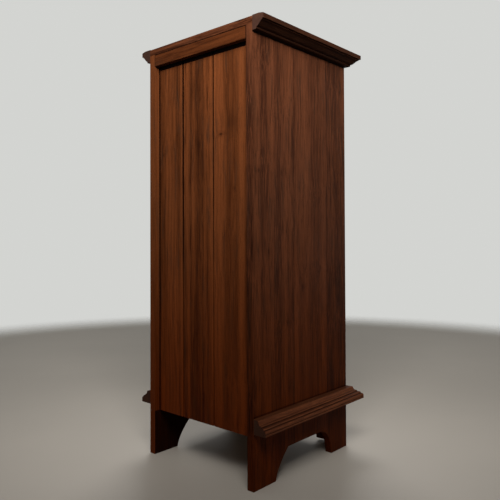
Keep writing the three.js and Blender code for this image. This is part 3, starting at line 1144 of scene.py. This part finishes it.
class SEMAINIER_OT_frames(bpy.types.Operator):
    """Dress the frames that carry the drawers: front rail, runners and rear rail"""

    bl_idname = "semainier.frames"
    bl_label = "Frames"

    def execute(self, context):
        sizes = context.scene.semainier_sizes
        between = [f"drawer_frame_{index}" for index in range(1, len(DRAWERS))]
        for node in ("top_frame", *between, "bottom_frame"):
            self.dress_frame(node, sizes)
        return {"FINISHED"}

    def dress_frame(self, node, sizes):
        low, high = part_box(node)
        rail_end = low.y + sizes.rail_depth
        rear_start = high.y - sizes.rear_rail_depth
        runner_edge = INNER_SIDE - sizes.runner_width
        boards = boards_of(node, {"rail": "XY", "rear": "XY", "left": "YX", "right": "YX"})

        def board_of(centre):
            if centre.y < rail_end:
                return boards["rail"]
            if centre.y > rear_start:
                return boards["rear"]
            return boards["left" if centre.x < 0 else "right"]

        bm = merged_copy(node)
        cut_across(bm, "Y", (rail_end, rear_start))
        ease_arrises(bm, sizes.inner_arris)
        mark_grain(bm, board_of)
        for face in bm.faces:
            face.material_index = int(face.calc_center_median().y > rail_end)
        finishes = wood("stained_case_wood"), wood("bare_inner_wood")
        place_piece(bm, f"{node}_dressed", node, CASE, "inner_wood", *finishes)


# Pieces of the drawers


class SEMAINIER_OT_drawer_fronts(bpy.types.Operator):
    """Dress the seven beaded drawer fronts"""

    bl_idname = "semainier.drawer_fronts"
    bl_label = "Drawer fronts"

    def execute(self, context):
        for drawer in DRAWERS:
            node = f"{drawer}_front"
            board = Board(node, "X", "Z", middle_of(node), heart=(0.02, 0.06))
            dress(node, drawer, "drawer_wood", "stained_drawer_wood", 0, board)
        return {"FINISHED"}


class SEMAINIER_OT_drawer_boxes(bpy.types.Operator):
    """Dress the drawer sides, backs and bottoms"""

    bl_idname = "semainier.drawer_boxes"
    bl_label = "Drawer boxes"

    def execute(self, context):
        sizes = context.scene.semainier_sizes
        for drawer in DRAWERS:
            self.dress_box(drawer, sizes)
            node = f"{drawer}_bottom"
            board = Board(node, "X", "Y", middle_of(node), heart=(0.0, 0.2))
            dress(node, drawer, "inner_wood", "bare_inner_wood", sizes.inner_arris, board)
        return {"FINISHED"}

    def dress_box(self, drawer, sizes):
        node = f"{drawer}_box"
        wall_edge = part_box(node)[1].x - sizes.drawer_wall
        boards = boards_of(node, {"left": "YZ", "right": "YZ", "back": "XZ"})

        def board_of(centre):
            if abs(centre.x) < wall_edge:
                return boards["back"]
            return boards["left" if centre.x < 0 else "right"]

        bm = merged_copy(node)
        cut_across(bm, "X", (-wall_edge, wall_edge))
        ease_arrises(bm, sizes.inner_arris)
        mark_grain(bm, board_of)
        finish = wood("bare_inner_wood")
        place_piece(bm, f"{node}_dressed", node, drawer, "inner_wood", finish)


# Knob outline, as shares of its radius and of its reach in front of the drawer
ROSE_RADIUS_SHARE = 0.70
ROSE_HEIGHT_SHARE = 0.118
NECK_RADIUS_SHARE = 0.427
HEAD_START_SHARE = 0.53
HEAD_END_SHARE = 0.915
BUTTON_RADIUS_SHARE = 0.5
SPIGOT_RADIUS_SHARE = 0.333

# Where the curves of a knob start, end or are pulled to, as shares of the parts they join
ROSE_ROUND_START_SHARE = 0.3
ROSE_ROUND_END_SHARE = 0.5
NECK_PULL_SHARE = 0.82
BUTTON_PULL_SHARE = 0.5
CURVE_STEPS = 9


def bend(start, pull, end):
    """Points on a curve from start to end that leaves and arrives towards pull."""
    points = []
    for step in range(CURVE_STEPS + 1):
        share = step / CURVE_STEPS
        points.append(
            start * (1 - share) ** 2 + pull * 2 * share * (1 - share) + end * share**2
        )
    return points


def knob_outline(radius, reach, spigot):
    """Half of a knob's section as (distance from its axis, distance in front of the drawer)."""

    def point(radius_share, reach_share):
        return Vector((radius * radius_share, reach * reach_share))

    rose_edge = point(ROSE_RADIUS_SHARE, 0)
    rose_front = point(ROSE_RADIUS_SHARE, ROSE_HEIGHT_SHARE)
    neck = point(NECK_RADIUS_SHARE, ROSE_HEIGHT_SHARE)
    head_rim = point(1, HEAD_START_SHARE)
    button = point(BUTTON_RADIUS_SHARE, HEAD_END_SHARE)
    round_start = rose_edge.lerp(rose_front, ROSE_ROUND_START_SHARE)
    round_end = rose_front.lerp(neck, ROSE_ROUND_END_SHARE)
    neck_pull = point(NECK_RADIUS_SHARE, HEAD_START_SHARE * NECK_PULL_SHARE)
    button_pull = point(BUTTON_RADIUS_SHARE * BUTTON_PULL_SHARE, 1)
    return [
        Vector((0, -spigot)),
        Vector((radius * SPIGOT_RADIUS_SHARE, -spigot)),
        Vector((radius * SPIGOT_RADIUS_SHARE, 0)),
        rose_edge,
        *bend(round_start, rose_front, round_end),
        *bend(neck, neck_pull, head_rim),
        *bend(head_rim, point(1, HEAD_END_SHARE), button)[1:],
        *bend(button, button_pull, point(0, 1))[1:],
    ]


class SEMAINIER_OT_knobs(bpy.types.Operator):
    """Turn the fourteen knobs, two to a drawer"""

    bl_idname = "semainier.knobs"
    bl_label = "Knobs"

    def execute(self, context):
        facets = context.scene.semainier_sizes.knob_facets
        for drawer in DRAWERS:
            for side in SIDES:
                self.turn_knob(f"{drawer}_knob_{side}", drawer, facets)
        return {"FINISHED"}

    def turn_knob(self, node, drawer, facets):
        low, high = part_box(node)
        middle = (low + high) / 2
        radius = (high.x - low.x) / 2
        outline = knob_outline(radius, FRONT - low.y, high.y - FRONT)
        bm = bmesh.new()
        verts = [
            bm.verts.new((middle.x + across, FRONT - forward, middle.z))
            for across, forward in outline
        ]
        edges = [bm.edges.new(pair) for pair in zip(verts, verts[1:])]
        bmesh.ops.spin(
            bm,
            geom=[*verts, *edges],
            cent=(middle.x, FRONT, middle.z),
            axis=(0, 1, 0),
            angle=math.tau,
            steps=facets,
            use_merge=True,
        )
        bmesh.ops.remove_doubles(bm, verts=bm.verts, dist=MERGE)
        bmesh.ops.recalc_face_normals(bm, faces=bm.faces)
        board = Board(node, "Y", "X", middle, heart=(0.012, 0.02))
        mark_grain(bm, lambda centre: board)
        finish = wood("stained_knob_wood")
        place_piece(bm, f"{node}_turned", node, drawer, "knob_wood", finish)


# Stage

# The floor: facets of its rim, its shine, and the patches where it is a little darker
FLOOR_FACETS = 96
FLOOR_ROUGHNESS = 0.55
FLOOR_PATCH_SIZE = (0.5, 0.5, 0.5)
FLOOR_PATCH_RANGE = (0.2, 0.8)
FLOOR_WORN_SHARE = 0.94


def floor_finish(stage):
    """A plain pale floor that fades into the backdrop at its rim."""
    finish = Finish("stage_floor")
    place = finish.add("ShaderNodeTexCoord", output="Object")
    across, along, _ = finish.parts(place)
    distance = (across * across + along * along).root()
    fade = 1 - distance.between(stage.floor_radius - stage.floor_fade, stage.floor_radius)
    patches = finish.noise(place, FLOOR_PATCH_SIZE, CLOUDY_NOISE).between(*FLOOR_PATCH_RANGE)
    colour = tuple(stage.floor_colour)
    worn = tuple(part * FLOOR_WORN_SHARE for part in colour)
    mixed = finish.mix(patches, worn, colour)
    return finish.surface(Base_Color=mixed, Roughness=FLOOR_ROUGHNESS, Alpha=fade)


# Lamps, each with its place, what it aims at, its size and whether it shines all round
LAMPS = {
    "key": ((-0.95, 1.15, 1.95), (0, 0, 1.6), 1.0, False),
    "top": ((0.0, 0.0, 3.4), (0, 0, 0), 3.0, True),
    "fill": ((0.95, -1.15, 1.95), (0, 0, 1.6), 1.2, False),
}


def soft_lamp(name, place, aim, size, power, spread):
    lamp = bpy.data.lights.new(name, "AREA")
    lamp.size = size
    lamp.energy = power
    lamp.spread = spread
    holder = bpy.data.objects.new(name, lamp)
    holder.location = place
    holder.rotation_euler = (Vector(aim) - Vector(place)).to_track_quat("-Z", "Y").to_euler()
    holder.visible_camera = False
    bpy.context.scene.collection.objects.link(holder)


class SEMAINIER_OT_stage(bpy.types.Operator):
    """Set the floor, the backdrop, the lamps and the camera"""

    bl_idname = "semainier.stage"
    bl_label = "Stage"

    def execute(self, context):
        stage = context.scene.semainier_stage
        self.lay_floor(context, stage)
        self.hang_backdrop(context, stage)
        for name, (place, aim, size, is_open) in LAMPS.items():
            power = getattr(stage, f"{name}_power")
            spread = math.pi if is_open else stage.lamp_spread
            soft_lamp(name, place, aim, size, power, spread)
        self.stand_camera(context, stage)
        context.scene.view_settings.view_transform = "Standard"
        return {"FINISHED"}

    def lay_floor(self, context, stage):
        bm = bmesh.new()
        bmesh.ops.create_circle(
            bm, cap_ends=True, segments=FLOOR_FACETS, radius=stage.floor_radius
        )
        mesh = bpy.data.meshes.new("stage_floor")
        bm.to_mesh(mesh)
        bm.free()
        mesh.materials.append(floor_finish(stage))
        floor = bpy.data.objects.new("stage_floor", mesh)
        context.scene.collection.objects.link(floor)

    def hang_backdrop(self, context, stage):
        world = bpy.data.worlds.new("backdrop")
        world.use_nodes = True
        context.scene.world = world
        nodes, links = world.node_tree.nodes, world.node_tree.links
        shader = nodes["Background"]
        shader.inputs["Color"].default_value = (*stage.backdrop_colour, 1)
        rays = nodes.new("ShaderNodeLightPath")
        shown = rays.outputs["Is Camera Ray"]
        for kind in ("Is Glossy Ray", "Is Transmission Ray"):
            either = nodes.new("ShaderNodeMath")
            either.operation = "MAXIMUM"
            links.new(shown, either.inputs[0])
            links.new(rays.outputs[kind], either.inputs[1])
            shown = either.outputs[0]
        level = nodes.new("ShaderNodeMapRange")
        level.inputs["To Min"].default_value = stage.world_level / stage.backdrop_colour[1]
        level.inputs["To Max"].default_value = 1
        links.new(shown, level.inputs["Value"])
        links.new(level.outputs["Result"], shader.inputs["Strength"])

    def stand_camera(self, context, stage):
        camera = bpy.data.cameras.new("camera")
        camera.lens = stage.focal_length
        camera.shift_x, camera.shift_y = stage.shift
        holder = bpy.data.objects.new("camera", camera)
        heading = Matrix.Rotation(-stage.camera_heading, 4, "Z")
        rise = Matrix.Rotation(math.pi / 2 + stage.camera_rise, 4, "X")
        roll = Matrix.Rotation(stage.camera_roll, 4, "Z")
        place = Matrix.Translation(stage.camera_place)
        holder.matrix_world = place @ heading @ rise @ roll
        context.scene.collection.objects.link(holder)
        context.scene.camera = holder


# Panel and registration


STEPS = (
    SEMAINIER_OT_stage,
    SEMAINIER_OT_side_panels,
    SEMAINIER_OT_top_and_apron,
    SEMAINIER_OT_mouldings,
    SEMAINIER_OT_back,
    SEMAINIER_OT_frames,
    SEMAINIER_OT_drawer_fronts,
    SEMAINIER_OT_drawer_boxes,
    SEMAINIER_OT_knobs,
)
GROUPS = {
    "semainier_sizes": SemainierSizes,
    "semainier_colours": SemainierColours,
    "semainier_stage": SemainierStage,
}


class SEMAINIER_PT_panel(bpy.types.Panel):
    """Sizes, colours and steps of the semainier"""

    bl_label = "Semainier"
    bl_idname = "SEMAINIER_PT_panel"
    bl_space_type = "VIEW_3D"
    bl_region_type = "UI"
    bl_category = "Semainier"

    def draw(self, context):
        for step in STEPS:
            self.layout.operator(step.bl_idname)
        for group in GROUPS:
            settings = getattr(context.scene, group)
            box = self.layout.box()
            for name in settings.__annotations__:
                box.prop(settings, name)


def register():
    for made in (*GROUPS.values(), *STEPS, SEMAINIER_PT_panel):
        bpy.utils.register_class(made)
    for name, group in GROUPS.items():
        setattr(bpy.types.Scene, name, PointerProperty(type=group))


def unregister():
    for name in GROUPS:
        delattr(bpy.types.Scene, name)
    for made in reversed((*GROUPS.values(), *STEPS, SEMAINIER_PT_panel)):
        bpy.utils.unregister_class(made)


def main():
    register()
    for step in STEPS:
        group, name = step.bl_idname.split(".")
        getattr(getattr(bpy.ops, group), name)()


if __name__ == "__main__":
    main()
